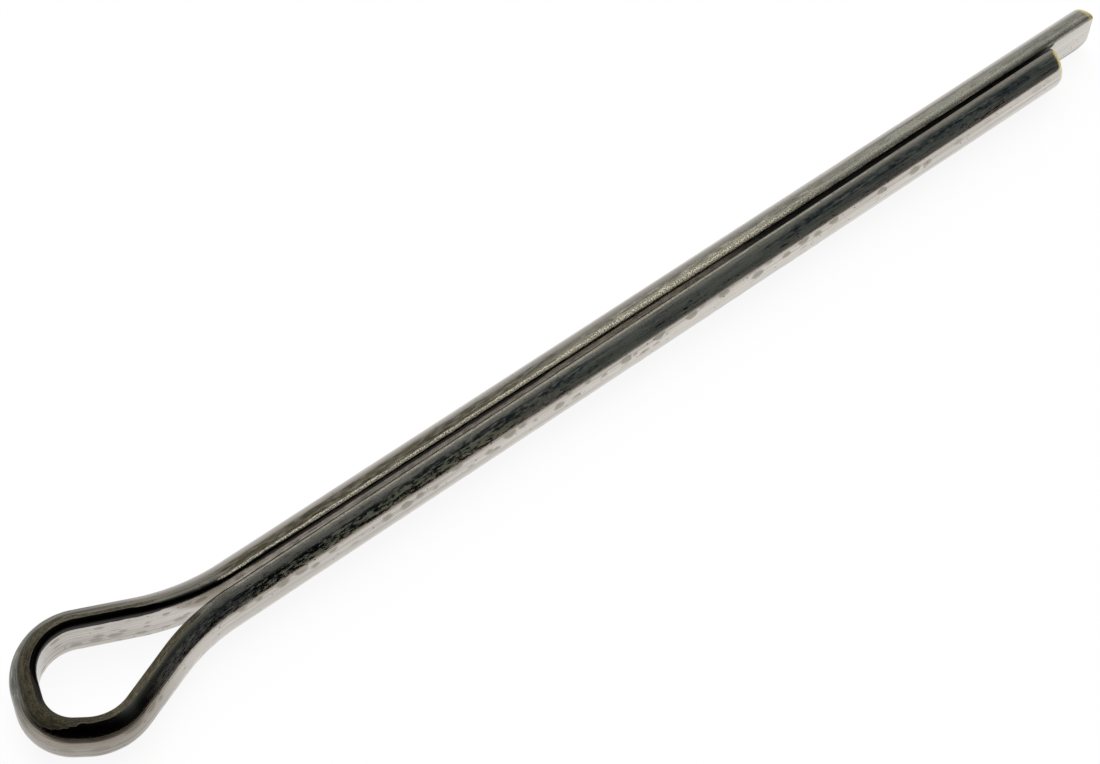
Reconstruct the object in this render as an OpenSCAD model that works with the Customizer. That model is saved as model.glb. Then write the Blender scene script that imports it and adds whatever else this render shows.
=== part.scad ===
// Cotter pin (split pin) bent from one length of half-round steel wire.
//
// The wire is folded back on itself with its flat side inwards. The two half-round legs
// lie side by side and make a round shank, and the fold between them is an eye.
//
// X runs along the shank from the eye to the tips, Y runs across the two legs, and Z is up
// when the pin lies on its side. The origin is on the shank's axis, where the shank starts.
// All sizes are in millimetres.

/* [Shank] */
// Diameter across the two legs, gauged at the middle of the shank
shank_d = 3.8; // [2.2:0.1:6.4]
// Length of the short leg, from the start of the shank to its tip
short_leg_len = 67.2; // [40:0.1:120]
// How far the long leg reaches past the short one
overhang = 3.9; // [0:0.1:12]
// Gap between the flats at the start of the shank
neck_gap = 0.48; // [0.2:0.01:0.9]
// Gap between the flats at the tip of the short leg
tip_gap = 0.18; // [0.02:0.01:0.9]

/* [Wire] */
// Radius of the two long corners beside the flat
corner_r = 0.35; // [0.1:0.01:0.42]
// Radius of the rounded edge around the long leg's cut end
long_tip_round = 0.36; // [0.1:0.01:0.6]
// Radius of the rounded edge around the short leg's cut end
short_tip_round = 0.68; // [0.1:0.01:0.8]

/* [Eye] */
// Inside length of the eye, from the start of the shank to the far side of the fold
eye_len = 14.0; // [12:0.1:18]
// Inside width of the eye on the long leg's side of the axis
eye_half_long = 3.35; // [2.6:0.05:4.2]
// Inside width of the eye on the short leg's side of the axis
eye_half_short = 2.75; // [2.3:0.05:3.6]
// Inside radius of the bend on the long leg's side
long_bend_r = 2.85; // [2:0.05:3.2]
// How far the bend on the long leg's side stops short of the eye's end
long_bend_setback = 0.35; // [0.1:0.05:0.6]
// Inside radius of the tighter bend at the eye's end
end_bend_r = 1.9; // [1.2:0.05:2.1]
// How far the centre of that bend lies from the axis, towards the short leg
end_bend_offset = 0.25; // [0:0.05:0.4]
// Inside radius of the bend on the short leg's side
short_bend_r = 2.95; // [2:0.05:3.2]
// How far the bend on the short leg's side stops short of the eye's end
short_bend_setback = 0.15; // [0.1:0.05:0.4]

/* [Neck] */
// How far behind the start of the shank the eye's arm meets the long leg's line
arm_root = 3.2; // [2.4:0.1:4]
// How much nearer to the eye the other arm meets the short leg's line
short_arm_lag = 0.53; // [0:0.01:1.2]
// Radius, at the flat, of the bend that rounds the long leg into its arm
long_neck_r = 15.2; // [10:0.1:20]
// Radius, at the flat, of the bend that rounds the short leg into its arm
short_neck_r = 14.5; // [10:0.1:20]

/* [Hidden] */

steel = [0.47, 0.46, 0.44];
round_fn = 96;
LEFT = 1;
RIGHT = -1;

wire_r = shank_d / 2;
long_leg_len = short_leg_len + overhang;

// Each leg leans in by this angle, so that the gap narrows from the neck to the tips.
lean = atan((neck_gap - tip_gap) / 2 / short_leg_len);

// The arcs of both legs are centred on the shank's axis at its middle, so each flat is set
// back from the centre of its arc by half of the gap there.
flat_setback = (neck_gap + tip_gap) / 4;

// A tip's rounded edge meets the sides at a clean line, with its circle this far inside them.
tip_lap = 0.03;

// Centre of a long corner's rounding, measured from the flat and from the middle plane.
corner_out = corner_r;
corner_up = sqrt(pow(wire_r - corner_r, 2) - pow(flat_setback + corner_r, 2));

// ---- The route of the flat -------------------------------------------------------------
// The flat follows straight runs and arcs. Each bend is a circle, listed in the order in
// which the wire meets it from the long leg to the short one: [centre, radius, side that the
// wire turns to]. Straight runs join the circles as common tangents.

function unit(a) = [cos(a), sin(a)];
function to_left(a) = [-sin(a), cos(a)];

// Heading of the straight run from bend a to bend b
function run_heading(a, b) =
    let (apart = b[0] - a[0])
    atan2(apart[1], apart[0]) - asin((b[2] * b[1] - a[2] * a[1]) / norm(apart));

// Length of the straight run from bend a to bend b
function run_length(a, b) =
    let (h = run_heading(a, b))
    (b[0] - a[0]) * unit(h);

// A turn from heading h0 to heading h1, brought to between -180 and 180 degrees
function turn(h0, h1) =
    let (t = h1 - h0)
    t > 180 ? t - 360 : t < -180 ? t + 360 : t;

// How far each end of a bend of radius r lies from the point where the lines it joins meet
function setback(r, turned) = r * tan(abs(turned) / 2);

long_heading = 180 - lean;
short_heading = lean;

EYE_BENDS = [
    [[-eye_len + long_bend_setback + long_bend_r, eye_half_long - long_bend_r], long_bend_r, LEFT],
    [[-eye_len + end_bend_r, -end_bend_offset], end_bend_r, LEFT],
    [[-eye_len + short_bend_setback + short_bend_r, short_bend_r - eye_half_short], short_bend_r, LEFT]
];

// The neck's bends round the corners between the legs' lines and the arms, so a change of
// their radius leaves the arms and the eye as they are.
long_root = [0, neck_gap / 2] + arm_root * unit(long_heading);
long_arm_heading = run_heading([long_root, 0, RIGHT], EYE_BENDS[0]);
long_setback = setback(long_neck_r, turn(long_heading, long_arm_heading));
long_neck = long_root - long_setback * unit(long_heading);

short_root = [0, -neck_gap / 2] - (arm_root + short_arm_lag) * unit(short_heading);
short_arm_heading = run_heading(EYE_BENDS[2], [short_root, 0, RIGHT]);
short_setback = setback(short_neck_r, turn(short_arm_heading, short_heading));
short_neck = short_root + short_setback * unit(short_heading);

BENDS = concat(
    [[long_neck - long_neck_r * to_left(long_heading), long_neck_r, RIGHT]],
    EYE_BENDS,
    [[short_neck - short_neck_r * to_left(short_heading), short_neck_r, RIGHT]]
);

// Straight lengths of the legs, from the neck's bends to the tips
long_straight = long_leg_len + arm_root - long_setback;
short_straight = short_leg_len + arm_root + short_arm_lag - short_setback;

LAST = len(BENDS) - 1;
HEADINGS = [
    long_heading,
    for (i = [0 : LAST - 1]) run_heading(BENDS[i], BENDS[i + 1]),
    short_heading
];
RUNS = [for (i = [0 : LAST - 1]) run_length(BENDS[i], BENDS[i + 1])];

// A number kept to six significant digits
function six_digits(v) =
    let (k = pow(10, 5 - floor(ln(max(abs(v), 1e-9)) / ln(10))))
    round(v * k) / k;

// The angle nearest to a whose sine and cosine, kept to six digits, still make a unit vector,
// so that lengths of wire turned by it meet face to face
function clean_angle(a, step = 0) =
    is_clean(a + step) ? a + step
    : is_clean(a - step) ? a - step
    : clean_angle(a, step + 0.0001);
function is_clean(a) = abs(norm([six_digits(cos(a)), six_digits(sin(a))]) - 1) < 2e-9;

// The turn made by each bend. Each makes up for what the turns before it were rounded by.
function turns_from(heading, i = 0) =
    i > LAST ? []
    : let (t = clean_angle(turn(heading, HEADINGS[i + 1])))
      concat([t], turns_from(heading + t, i + 1));
TURNS = turns_from(long_heading);

// ---- The wire's section ----------------------------------------------------------------

// Half-round section. The flat lies on x = 0 and the arc is on the side of positive x.
module wire_section() {
    reach = wire_r - corner_r;
    touch_x = wire_r * (flat_setback + corner_r) / reach - flat_setback;
    touch_y = wire_r * corner_up / reach;
    difference() {
        translate([-flat_setback, 0])
            circle(r = wire_r, $fn = round_fn);
        translate([-2 * wire_r, -wire_r])
            square([2 * wire_r, 2 * wire_r]);
        for (side = [-1, 1])
            polygon([
                [-corner_r, side * corner_up],
                [0, side * corner_up],
                [touch_x, side * touch_y],
                [touch_x, side * 2 * wire_r],
                [-corner_r, side * 2 * wire_r]
            ]);
    }
    for (side = [-1, 1])
        translate([corner_out, side * corner_up])
            circle(r = corner_r, $fn = round_fn);
}

// ---- Lengths of wire -------------------------------------------------------------------
// Each piece starts at the origin and heads along X, with the flat on the plane y = 0 facing
// the left side, which is the inside of the fold.

module straight(length) {
    rotate([90, 0, 90])
        linear_extrude(height = length)
            mirror([1, 0])
                wire_section();
}

// A bend that turns the heading by a, to the left if a is positive. It is the part of a whole
// ring that lies ahead of the bend's first plane and behind its last.
module bend(r, a) {
    intersection() {
        ring(r, sign(a));
        ahead(r);
        after_bend(r, a)
            mirror([1, 0, 0])
                ahead(r);
    }
}

// The wire closed into a ring that passes the origin along X, turning to the given side
module ring(r, side) {
    translate([0, side * r, 0])
        rotate_extrude($fn = 2 * round_fn)
            translate([r, 0])
                scale([side, 1])
                    wire_section();
}

// The space ahead of the plane x = 0, far enough for a bend of radius r
module ahead(r) {
    far = 2 * r + 2 * shank_d;
    translate([0, -far, -shank_d])
        cube([far, 2 * far, 2 * shank_d]);
}

// Carries its children to the far end of a bend
module after_bend(r, a) {
    side = sign(a);
    translate([0, side * r, 0])
        rotate([0, 0, a])
            translate([0, -side * r, 0])
                children();
}

// A straight run that ends in a cut tip, with the edge around the cut rounded to radius edge
module tipped_leg(length, edge) {
    intersection() {
        straight(length);
        tip_envelope(length, edge);
    }
}

// Everything inside the rounding of the tip: a round nose for the arc and a round front
// edge for the flat
module tip_envelope(length, edge) {
    nose_r = wire_r + tip_lap;
    intersection() {
        translate([0, flat_setback, 0])
            rotate([0, 90, 0])
                rotate_extrude($fn = round_fn)
                    nose_outline(length, edge, nose_r);
        translate([0, 0, -2 * wire_r])
            linear_extrude(height = 4 * wire_r)
                mirror([1, -1])
                    nose_outline(length, edge, tip_lap, 3 * wire_r);
    }
}

// Outline from x = -back to x = front and from y = -1 to y = length, with its front top
// corner rounded to radius edge
module nose_outline(length, edge, front, back = 0) {
    translate([-back, -1])
        square([back + front, length + 1 - edge]);
    translate([-back, 0])
        square([back + front - edge, length]);
    translate([front - edge, length - edge])
        intersection() {
            circle(r = edge, $fn = round_fn);
            square(edge);
        }
}

// Lays the wire from bend i to the short leg's tip
module lay_wire(i = 0) {
    bend(BENDS[i][1], TURNS[i]);
    after_bend(BENDS[i][1], TURNS[i]) {
        if (i < LAST) {
            straight(RUNS[i]);
            translate([RUNS[i], 0, 0])
                lay_wire(i + 1);
        } else {
            tipped_leg(short_straight, short_tip_round);
        }
    }
}

module cotter_pin() {
    color(steel)
        translate([long_neck[0], long_neck[1], 0])
            rotate([0, 0, long_heading]) {
                mirror([1, 0, 0])
                    tipped_leg(long_straight, long_tip_round);
                lay_wire();
            }
}

cotter_pin();
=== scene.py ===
"""Cotter pin: the looks of a split pin bent from one length of half-round drawn steel wire.

The wire's section is spun as an outline of edges. The mesh is laid in the order in which the
wire is bent, from the long leg's tip round the eye to the short leg's tip: straight lengths
are extruded, bends are spun, and each cut tip is closed over its rounded edge. Shallow dents
and waves are pressed into the finished skin. Its places along and around the wire, and how
strongly each kind of wear, painted shade and painted highlight shows there, are kept for
the steel's pattern.

Lengths are in millimetres until the mesh is finished, and metres after that.
"""

import logging
import math
import random
from collections.abc import Iterable, Sequence
from dataclasses import dataclass, field
from enum import Enum
from functools import partial, reduce
from itertools import accumulate

import bmesh
import bpy
from bmesh.types import BMEdge, BMesh, BMVert
from bpy.types import Material, Node, NodeSocket, NodeTree, Object
from mathutils import Matrix, Vector, noise


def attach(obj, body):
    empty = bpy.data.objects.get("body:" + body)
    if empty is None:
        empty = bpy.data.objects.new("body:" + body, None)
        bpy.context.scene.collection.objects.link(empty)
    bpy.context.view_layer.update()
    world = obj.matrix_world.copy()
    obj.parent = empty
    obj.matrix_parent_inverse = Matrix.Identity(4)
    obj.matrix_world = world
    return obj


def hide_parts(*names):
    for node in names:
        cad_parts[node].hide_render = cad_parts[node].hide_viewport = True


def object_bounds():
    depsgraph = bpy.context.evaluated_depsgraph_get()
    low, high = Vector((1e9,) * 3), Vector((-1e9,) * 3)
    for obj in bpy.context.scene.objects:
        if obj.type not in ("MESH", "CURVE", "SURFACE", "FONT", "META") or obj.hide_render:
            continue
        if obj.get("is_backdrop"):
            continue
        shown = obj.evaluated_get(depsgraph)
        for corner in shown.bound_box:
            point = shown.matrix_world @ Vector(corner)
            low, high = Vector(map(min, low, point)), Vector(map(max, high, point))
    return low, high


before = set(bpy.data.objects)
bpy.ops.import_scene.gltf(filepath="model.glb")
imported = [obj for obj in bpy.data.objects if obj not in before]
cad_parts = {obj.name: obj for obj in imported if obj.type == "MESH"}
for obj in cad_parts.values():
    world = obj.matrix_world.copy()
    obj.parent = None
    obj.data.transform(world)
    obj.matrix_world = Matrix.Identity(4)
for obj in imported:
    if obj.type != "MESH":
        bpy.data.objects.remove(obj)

LOG = logging.getLogger("cotter_pin")
MM = 0.001
CAD_NODE = "cotter_pin"
BODY = "root"
WIRE_MAP = "wire"
PLACES = ("along", "around")
OPAQUE = 1.0
WHITE = (1.0, 1.0, 1.0)
BLACK = (0.0, 0.0, 0.0)

# Stretches in millimetres over which the wear changes: from the eye to the shank and to the
# long leg's end, both along X, and from the flat's side of the section to its round side
SHANK = (-5.0, 1.0)
LONG_END = (60.0, 67.0)
OUTSIDE = (1.95, 2.6)


class Side(Enum):
    """The side that a bend turns to, seen along the wire."""

    LEFT = 1
    RIGHT = -1


class Zone(Enum):
    """Parts of the wire's surface with their own wear, painted shade and painted highlight, each
    kept as a mesh attribute.
    """

    # Sandy grains whose bright gold is partly a painted highlight
    SAND_HIGHLIGHT = "sand"
    MATT = "matt"
    WORN = "worn"
    # Painted shade: dark patches standing for the dark surroundings that the steel mirrors
    SHADE = "shade"
    STAIN = "stain"
    DULL = "dull"
    # An olive layer that is partly painted shade
    FILM_AND_SHADE = "film"
    HAZE = "haze"
    # Painted black shade: in the slit, along the inner corners by the eye, and in a thin line along
    # the long leg
    BLACK_SHADE = "grime"
    CUT = "cut"


# Roughness that the die lines and each zone add
LINE_ROUGHNESS = 0.08
ZONE_ROUGHNESS = {
    Zone.WORN: 0.26,
    Zone.MATT: 0.28,
    Zone.SAND_HIGHLIGHT: 0.34,
    Zone.STAIN: 0.14,
    Zone.DULL: 0.12,
    Zone.FILM_AND_SHADE: 0.22,
    Zone.HAZE: 0.18,
    Zone.BLACK_SHADE: 0.3,
    Zone.CUT: 0.25,
}
# How much of the metal each zone hides
ZONE_COVER = {Zone.SAND_HIGHLIGHT: 0.68, Zone.MATT: 0.4, Zone.WORN: 0.25, Zone.FILM_AND_SHADE: 0.6, Zone.HAZE: 0.5}


def unit(angle: float) -> Vector:
    """Returns the unit vector in the XY plane at an angle in radians."""
    return Vector((math.cos(angle), math.sin(angle)))


def to_left(angle: float) -> Vector:
    """Returns the unit vector a quarter turn to the left of a heading in radians."""
    return Vector((-math.sin(angle), math.cos(angle)))


def rise(value: float, low: float, high: float) -> float:
    """Returns a smooth rise from 0 at low to 1 at high."""
    part = min(max((value - low) / (high - low), 0.0), 1.0)
    return part * part * (3.0 - 2.0 * part)


def fall(value: float, low: float, high: float) -> float:
    """Returns a number that falls smoothly from 1 at low to 0 at high."""
    return 1.0 - rise(value, low, high)


def band(value: float, low: float, high: float, soft: float) -> float:
    """Returns 1 between low and high and 0 outside, with edges that fade over soft."""
    return rise(value, low - soft, low + soft) * fall(value, high - soft, high + soft)


def add_object(name: str, data: bpy.types.ID) -> Object:
    """Adds an object to the scene.

    Args:
        name: The object's name.
        data: The mesh, lamp or camera that it shows.

    Returns:
        The new object.
    """
    made = bpy.data.objects.new(name, data)
    bpy.context.scene.collection.objects.link(made)
    return made


def add_mesh(name: str, bm: BMesh, material: Material) -> Object:
    """Adds an object with a finished mesh in one material.

    Args:
        name: The object's name.
        bm: The mesh, which is freed.
        material: The material that it is made of.

    Returns:
        The new object.
    """
    mesh = bpy.data.meshes.new(name)
    bm.to_mesh(mesh)
    bm.free()
    mesh.materials.append(material)
    return add_object(name, mesh)


@dataclass(frozen=True)
class Spot:
    """A place on the wire's surface, in millimetres.

    Attributes:
        x: Place along the shank.
        z: Height above the pin's middle plane.
        along: Place along the wire, from the long leg's tip.
        fold: Place around the section, from the middle of its flat. The flat ends at 1.46,
            its corner at 2.13, and the middle of the round side is at 4.47.
    """

    x: float
    z: float
    along: float
    fold: float


@dataclass(frozen=True)
class Bend:
    """A bend as a circle that the wire's flat follows.

    Attributes:
        centre: Centre of the circle in the XY plane.
        radius: Radius at the flat; 0 stands for a sharp corner.
        side: The side that the wire turns to.
    """

    centre: Vector
    radius: float
    side: Side

    def heading_to(self, other: "Bend") -> float:
        """Works out the heading of the straight run from this bend to the next.

        Args:
            other: The next bend.

        Returns:
            The heading in radians.
        """
        apart = other.centre - self.centre
        reach = other.side.value * other.radius - self.side.value * self.radius
        return math.atan2(apart.y, apart.x) - math.asin(reach / apart.length)

    def run_to(self, other: "Bend") -> float:
        """Returns the length of the straight run from this bend to the next."""
        return (other.centre - self.centre).dot(unit(self.heading_to(other)))


@dataclass(frozen=True)
class PinSizes:
    """The pin's driving sizes, the same as the part's own.

    Attributes:
        shank_d: Diameter across both legs.
        short_leg_len: Short leg, from the start of the shank to its tip.
        overhang: How far the long leg reaches past the short one.
        neck_gap: Gap between the flats at the start of the shank.
        tip_gap: Gap between the flats at the short leg's tip.
        corner_r: Radius of the long corners beside the flat.
        long_tip_round: Edge radius around the long leg's cut end.
        short_tip_round: Edge radius around the short leg's cut end.
        eye_len: Inside length of the eye.
        eye_half_long: Inside width of the eye on the long leg's side.
        eye_half_short: Inside width of the eye on the short leg's side.
        long_bend_r: Inside radius of the eye's bend on the long leg's side.
        long_bend_setback: How far that bend stops short of the eye's end.
        end_bend_r: Inside radius of the bend at the eye's end.
        end_bend_offset: How far that bend's centre lies towards the short leg.
        short_bend_r: Inside radius of the eye's bend on the short leg's side.
        short_bend_setback: How far that bend stops short of the eye's end.
        arm_root: How far behind the shank's start the long leg's arm meets its line.
        short_arm_lag: How much nearer to the eye the short leg's arm meets its line.
        long_neck_r: Radius of the bend between the long leg and its arm.
        short_neck_r: Radius of the bend between the short leg and its arm.
    """

    shank_d: float = 3.8
    short_leg_len: float = 67.2
    overhang: float = 3.9
    neck_gap: float = 0.48
    tip_gap: float = 0.18
    corner_r: float = 0.35
    long_tip_round: float = 0.36
    short_tip_round: float = 0.68
    eye_len: float = 14.0
    eye_half_long: float = 3.35
    eye_half_short: float = 2.75
    long_bend_r: float = 2.85
    long_bend_setback: float = 0.35
    end_bend_r: float = 1.9
    end_bend_offset: float = 0.25
    short_bend_r: float = 2.95
    short_bend_setback: float = 0.15
    arm_root: float = 3.2
    short_arm_lag: float = 0.53
    long_neck_r: float = 15.2
    short_neck_r: float = 14.5


class WireRoute:
    """The line that the wire's flat follows, from the long leg's tip to the short leg's."""

    def __init__(self, sizes: PinSizes) -> None:
        """Works out the bends, the straight runs and the turns.

        Args:
            sizes: The pin's driving sizes.
        """
        lean = math.atan((sizes.neck_gap - sizes.tip_gap) / 2 / sizes.short_leg_len)
        long_heading, short_heading = math.pi - lean, lean
        eye = self._eye_bends(sizes)

        long_root = Vector((0, sizes.neck_gap / 2)) + sizes.arm_root * unit(long_heading)
        long_arm = Bend(long_root, 0.0, Side.RIGHT).heading_to(eye[0])
        long_setback = self._setback(sizes.long_neck_r, long_arm - long_heading)
        long_neck = long_root - long_setback * unit(long_heading)

        short_back = sizes.arm_root + sizes.short_arm_lag
        short_root = Vector((0, -sizes.neck_gap / 2)) - short_back * unit(short_heading)
        short_arm = eye[2].heading_to(Bend(short_root, 0.0, Side.RIGHT))
        short_setback = self._setback(sizes.short_neck_r, short_heading - short_arm)
        short_neck = short_root + short_setback * unit(short_heading)

        self.bends = [
            self._neck_bend(long_neck, long_heading, sizes.long_neck_r),
            *eye,
            self._neck_bend(short_neck, short_heading, sizes.short_neck_r),
        ]
        pairs = list(zip(self.bends, self.bends[1:]))
        headings = [long_heading, *(a.heading_to(b) for a, b in pairs), short_heading]
        self.turns = [self._wrapped(b - a) for a, b in zip(headings, headings[1:])]
        self.runs = [a.run_to(b) for a, b in pairs]
        self.heading = long_heading
        self.long_straight = (
            sizes.short_leg_len + sizes.overhang + sizes.arm_root - long_setback
        )
        self.short_straight = sizes.short_leg_len + short_back - short_setback
        self.start = long_neck - self.long_straight * unit(long_heading)

    @staticmethod
    def _eye_bends(sizes: PinSizes) -> list[Bend]:
        """Places the eye's three bends.

        Args:
            sizes: The pin's driving sizes.

        Returns:
            The bends, from the long leg's side to the short leg's.
        """
        back, long_r, short_r = -sizes.eye_len, sizes.long_bend_r, sizes.short_bend_r
        bends = (
            (sizes.long_bend_setback, sizes.eye_half_long - long_r, long_r),
            (0.0, -sizes.end_bend_offset, sizes.end_bend_r),
            (sizes.short_bend_setback, short_r - sizes.eye_half_short, short_r),
        )
        return [
            Bend(Vector((back + setback + radius, across)), radius, Side.LEFT)
            for setback, across, radius in bends
        ]

    @staticmethod
    def _neck_bend(start: Vector, heading: float, radius: float) -> Bend:
        """Returns a bend to the right that touches the line through start."""
        return Bend(start - radius * to_left(heading), radius, Side.RIGHT)

    @staticmethod
    def _setback(radius: float, turned: float) -> float:
        """Returns how far a rounded corner's ends lie from the corner's point."""
        return radius * math.tan(abs(WireRoute._wrapped(turned)) / 2)

    @staticmethod
    def _wrapped(angle: float) -> float:
        """Returns the angle brought to between minus and plus half a turn."""
        return math.remainder(angle, math.tau)


@dataclass
class WireSection:
    """The half-round section, spun as an outline of edges.

    Attributes:
        radius: Radius of the round side.
        flat_setback: How far the flat lies from the round side's centre.
        corner_r: Radius of the corners beside the flat.
        least_corner_r: Smallest radius that a shrunken section's corners keep.
        flat_share: How far the flat is drawn in, as a share of the inset.
        flat_steps: Edges along each half of the flat.
        corner_steps: Edges around each corner.
        round_steps: Edges around the round side.
    """

    radius: float
    flat_setback: float
    corner_r: float
    least_corner_r: float = 0.20
    flat_share: float = 0.12
    flat_steps: int = 7
    corner_steps: int = 8
    round_steps: int = 30

    def corner(self, inset: float) -> tuple[float, float, float]:
        """Places the upper corner of the section, shrunk evenly by an inset.

        Args:
            inset: How far the outline is drawn in.

        Returns:
            The corner's radius, its height, and the angle at which it meets the round side.
        """
        radius = max(self.corner_r - inset, self.least_corner_r)
        out = self.flat_setback + self.flat_share * inset + radius
        height = math.sqrt((self.radius - inset - radius) ** 2 - out**2)
        return radius, height, math.atan2(height, out)

    @property
    def around(self) -> list[float]:
        """Measures each outline vertex's place around the full section.

        Returns:
            The lengths from the middle of the flat.
        """
        radius, height, meets = self.corner(0.0)
        half_flat = [height / self.flat_steps] * self.flat_steps
        corner = [radius * (math.pi - meets) / self.corner_steps] * self.corner_steps
        rounded = [self.radius * 2 * meets / self.round_steps] * self.round_steps
        lengths = [*half_flat, *corner, *rounded, *corner, *half_flat[1:]]
        return list(accumulate(lengths, initial=0.0))

    @property
    def perimeter(self) -> float:
        """Length once around the full section."""
        radius, height, meets = self.corner(0.0)
        return 2 * (height + radius * (math.pi - meets) + self.radius * meets)

    def spin_outline(self, bm: BMesh, inset: float, place: Matrix) -> list:
        """Spins the closed outline of the section, facing along X, and moves it to its place.

        Args:
            bm: The mesh that takes the outline.
            inset: How far the outline is drawn in from the full section.
            place: Where the section's frame goes.

        Returns:
            The outline's edges.
        """
        radius, height, meets = self.corner(inset)
        flat_inset = self.flat_share * inset
        corner_y = -(flat_inset + radius)
        first = bm.verts.new((0.0, -flat_inset, 0.0))
        before = len(bm.verts) - 1
        last = self._slide(bm, first, height, self.flat_steps)
        for centre, angle, steps in (
            ((corner_y, height), math.pi - meets, self.corner_steps),
            ((self.flat_setback, 0.0), 2 * meets, self.round_steps),
            ((corner_y, -height), math.pi - meets, self.corner_steps),
        ):
            last = self._draw(bm, last, steps, cent=(0, *centre), angle=angle)
        last = self._slide(bm, last, height * (1 - 1 / self.flat_steps), self.flat_steps - 1)
        bm.edges.new((last, first))
        bm.verts.ensure_lookup_table()
        verts = bm.verts[before:]
        place_layer = bm.verts.layers.float["around"]
        for vert, around in zip(verts, self.around, strict=True):
            vert[place_layer] = around
        bmesh.ops.transform(bm, matrix=place, verts=verts)
        return list(dict.fromkeys(edge for vert in verts for edge in vert.link_edges))

    def _slide(self, bm: BMesh, vert: BMVert, length: float, steps: int) -> BMVert:
        """Draws a vertex straight up in even steps and returns the last one."""
        return self._draw(bm, vert, steps, dvec=(0, 0, length / steps), angle=0.0)

    @staticmethod
    def _draw(bm: BMesh, vert: BMVert, steps: int, **path: object) -> BMVert:
        """Draws a vertex along a path in the YZ plane and returns the last one."""
        made = bmesh.ops.spin(bm, geom=[vert], axis=(1, 0, 0), steps=steps, **path)
        return next(x for x in made["geom_last"] if isinstance(x, BMVert))


class NodeBench:
    """Adds and joins nodes in one tree."""

    def __init__(self, tree: NodeTree) -> None:
        """Starts on a tree, which is emptied."""
        self.tree = tree
        tree.nodes.clear()

    def node(self, kind: str, inputs: dict | None = None, **settings: object) -> Node:
        """Adds a node.

        Args:
            kind: The node's type name.
            inputs: Numbers, colours or outputs for its input sockets, by name or number.
            settings: Its other properties.

        Returns:
            The new node.
        """
        made = self.tree.nodes.new(kind)
        for name, value in settings.items():
            setattr(made, name, value)
        for name, value in (inputs or {}).items():
            if isinstance(value, NodeSocket):
                self.tree.links.new(value, made.inputs[name])
            else:
                made.inputs[name].default_value = value
        return made

    def math(self, operation: str, *values: object, clamp: bool = False) -> NodeSocket:
        """Adds a Math node.

        Args:
            operation: What it works out.
            *values: The numbers or outputs that it works on.
            clamp: Whether the result is kept between 0 and 1.

        Returns:
            Its result.
        """
        made = self.node(
            "ShaderNodeMath", dict(enumerate(values)), operation=operation, use_clamp=clamp
        )
        return made.outputs[0]

    def product(self, *values: object) -> NodeSocket:
        """Returns the product of two or more numbers or outputs."""
        return reduce(partial(self.math, "MULTIPLY"), values)

    def total(self, *values: object) -> NodeSocket:
        """Returns the sum of two or more numbers or outputs."""
        return reduce(partial(self.math, "ADD"), values)

    def most(self, *values: object) -> NodeSocket:
        """Returns the largest of two or more numbers or outputs."""
        return reduce(partial(self.math, "MAXIMUM"), values)

    def rest(self, value: NodeSocket) -> NodeSocket:
        """Returns what is left of 1 when a share is taken away."""
        return self.math("SUBTRACT", 1.0, value)

    def rise(self, value: object, low: float, high: float) -> NodeSocket:
        """Adds a smooth rise from 0 at low to 1 at high, or a fall where low is above high.

        Args:
            value: The output that is read.
            low: Where the rise starts.
            high: Where it ends.

        Returns:
            A share from 0 to 1.
        """
        made = self.node(
            "ShaderNodeMapRange",
            {"Value": value, "From Min": low, "From Max": high},
            interpolation_type="SMOOTHSTEP",
        )
        return made.outputs["Result"]

    def fall(self, value: object, low: float, high: float) -> NodeSocket:
        """Returns a smooth fall from 1 at low to 0 at high."""
        return self.rest(self.rise(value, low, high))

    def spread(self, value: object, low: float, high: float) -> NodeSocket:
        """Returns a number between low and high, at a share that runs from 0 to 1."""
        made = self.node("ShaderNodeMapRange", {"Value": value, "To Min": low, "To Max": high})
        return made.outputs["Result"]

    def blend(self, share: object, first: object, second: object) -> NodeSocket:
        """Lays one colour over another.

        Args:
            share: How much of the second colour is laid in.
            first: The colour underneath, as an output or as red, green and blue.
            second: The colour laid over it, given in the same way.

        Returns:
            The colour output.
        """
        first, second = (
            (*colour, OPAQUE) if isinstance(colour, tuple) else colour for colour in (first, second)
        )
        made = self.node(
            "ShaderNodeMix",
            {0: share, 6: first, 7: second},
            data_type="RGBA",
            blend_type="MIX",
            clamp_factor=True,
        )
        return made.outputs[2]

    def layers(self, ground: object, laid: Iterable[tuple[object, object]]) -> NodeSocket:
        """Lays colours over a ground colour, each by its own share.

        Args:
            ground: The colour to start from.
            laid: Pairs of a share and a colour, the lowest first.

        Returns:
            The colour that they make together.
        """
        for share, colour in laid:
            ground = self.blend(share, ground, colour)
        return ground

    def ramp(self, value: object, stops: Sequence[tuple[float, tuple]]) -> NodeSocket:
        """Returns a colour that changes through a list of stops.

        Args:
            value: The place between 0 and 1.
            stops: Each stop's place and its red, green and blue.

        Returns:
            The colour output.
        """
        made = self.node("ShaderNodeValToRGB", {"Fac": value})
        elements = made.color_ramp.elements
        while len(elements) < len(stops):
            elements.new(1.0)
        for element, (place, colour) in zip(elements, stops):
            element.position = place
            element.color = (*colour, OPAQUE)
        return made.outputs["Color"]


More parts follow.
